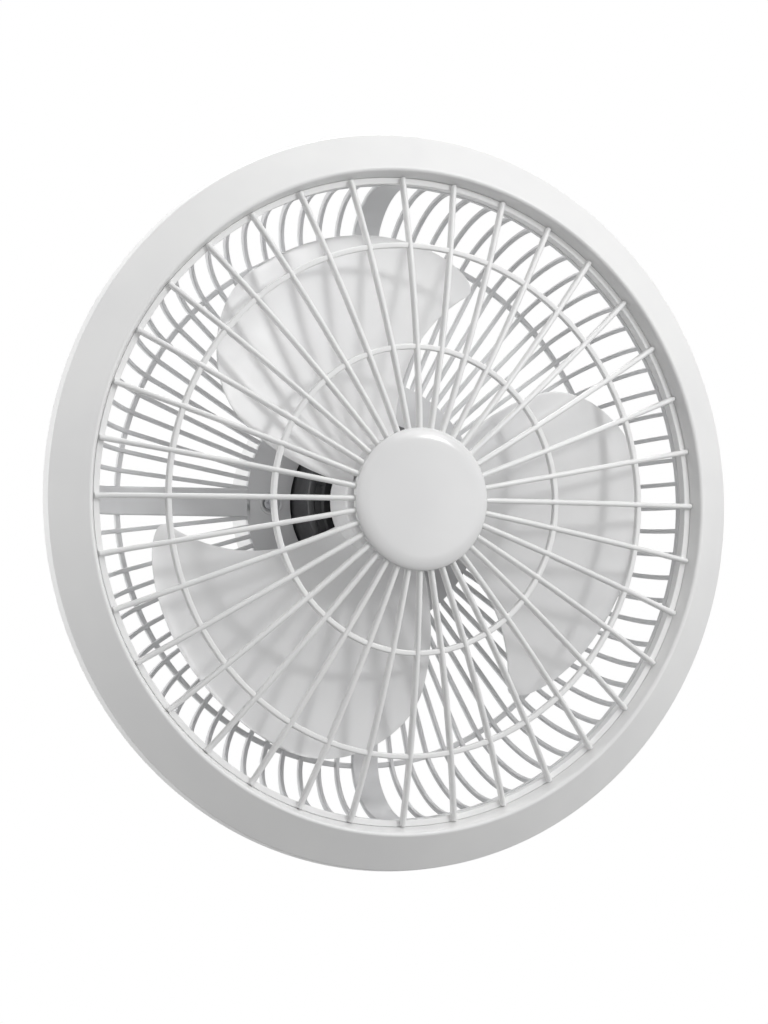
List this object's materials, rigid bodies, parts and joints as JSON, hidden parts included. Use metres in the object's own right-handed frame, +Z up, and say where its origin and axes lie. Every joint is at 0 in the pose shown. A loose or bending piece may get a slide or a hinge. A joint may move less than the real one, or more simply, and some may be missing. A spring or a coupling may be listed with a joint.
{
  "type": "orbital ceiling fan",
  "caption": "Caged fan head with a wide sloping trim ring, tilting on a fork and circling on a geared stem under a round ceiling canopy.",
  "frame": {"origin": "centre of the four ceiling screws, on the ceiling plate's upper face", "axes": "+Z up into the ceiling, +Y along the tilt bolt, and the head faces down and towards -X at rest"},
  "size_m": [0.3912, 0.4228, 0.2996],
  "materials": {
    "white_plastic": "satin moulded, faint warm white",
    "guard_plastic": "satin moulded, cool white",
    "blade_plastic": "smooth satin white",
    "zinc_steel": "zinc plated",
    "lamination_steel": "stacked laminations",
    "motor_enamel": "satin black enamel",
    "white_enamel": "powder coated",
    "cast_alloy": "die cast",
    "bush_brass": "turned",
    "winding_copper": "varnished winding wire",
    "gear_nylon": "natural nylon",
    "dark_plastic": "fine grained",
    "friction_fibre": "pressed fibre"
  },
  "bodies": {
    "ceiling_base": {"ceiling_plate": "zinc_steel", "plate_screws": "zinc_steel", "chassis_spacers": "zinc_steel", "orbit_chassis": "cast_alloy", "chassis_screws": "zinc_steel", "shaft_bush": "bush_brass", "orbit_motor": "zinc_steel", "orbit_motor_screws": "zinc_steel", "terminal_block": "gear_nylon", "canopy": "white_plastic", "canopy_screws": "zinc_steel"},
    "orbit_arm": {"orbit_stem": "zinc_steel", "orbit_gear": "gear_nylon", "thrust_washer": "bush_brass", "retaining_ring": "zinc_steel", "stem_collar": "white_plastic", "fork": "white_enamel", "fork_screws": "zinc_steel", "tilt_bolt": "zinc_steel", "friction_washers": "friction_fibre"},
    "knob": {"tilt_knob": "dark_plastic"},
    "pinion": {"pinion_shaft": "zinc_steel", "orbit_pinion": "gear_nylon"},
    "fan_head": {"tilt_knuckle": "white_enamel", "knuckle_screws": "zinc_steel", "rear_housing": "white_plastic", "rear_guard": "guard_plastic", "hub_screws": "zinc_steel", "motor_front_bell": "motor_enamel", "motor_rear_bell": "motor_enamel", "stator_core": "lamination_steel", "stator_windings": "winding_copper", "front_bearing": "zinc_steel", "rear_bearing": "zinc_steel", "run_capacitor": "dark_plastic", "front_guard": "white_plastic", "front_cap": "white_plastic", "trim_ring": "white_plastic", "ring_screws": "zinc_steel"},
    "rotor": {"motor_shaft": "zinc_steel", "rotor_core": "lamination_steel", "propeller": "blade_plastic", "drive_pin": "zinc_steel", "spinner_nut": "dark_plastic"}
  },
  "joints": [
    {"name": "orbit", "type": "hinge", "parent": "ceiling_base", "child": "orbit_arm", "pos_m": [0, 0, -0.05], "axis": [0, 0, 1], "continuous": true},
    {"name": "tilt", "type": "hinge", "parent": "orbit_arm", "child": "fan_head", "pos_m": [0, 0, -0.12], "axis": [0, 1, 0], "range_deg": [-23, 22]},
    {"name": "spin", "type": "hinge", "parent": "fan_head", "child": "rotor", "pos_m": [0, 0, -0.12], "axis": [-0.3907, 0, -0.9205], "continuous": true},
    {"name": "knob_turn", "type": "hinge", "parent": "orbit_arm", "child": "knob", "pos_m": [0, 0.021, -0.12], "axis": [0, 1, 0], "range_deg": [0, 180]},
    {"name": "pinion_spin", "type": "hinge", "parent": "ceiling_base", "child": "pinion", "pos_m": [0, 0.032, -0.0233], "axis": [0, 0, 1], "continuous": true}
  ],
  "couplings": [
    {"joint": "pinion_spin", "follows": "orbit", "ratio": -2.5556}
  ]
}
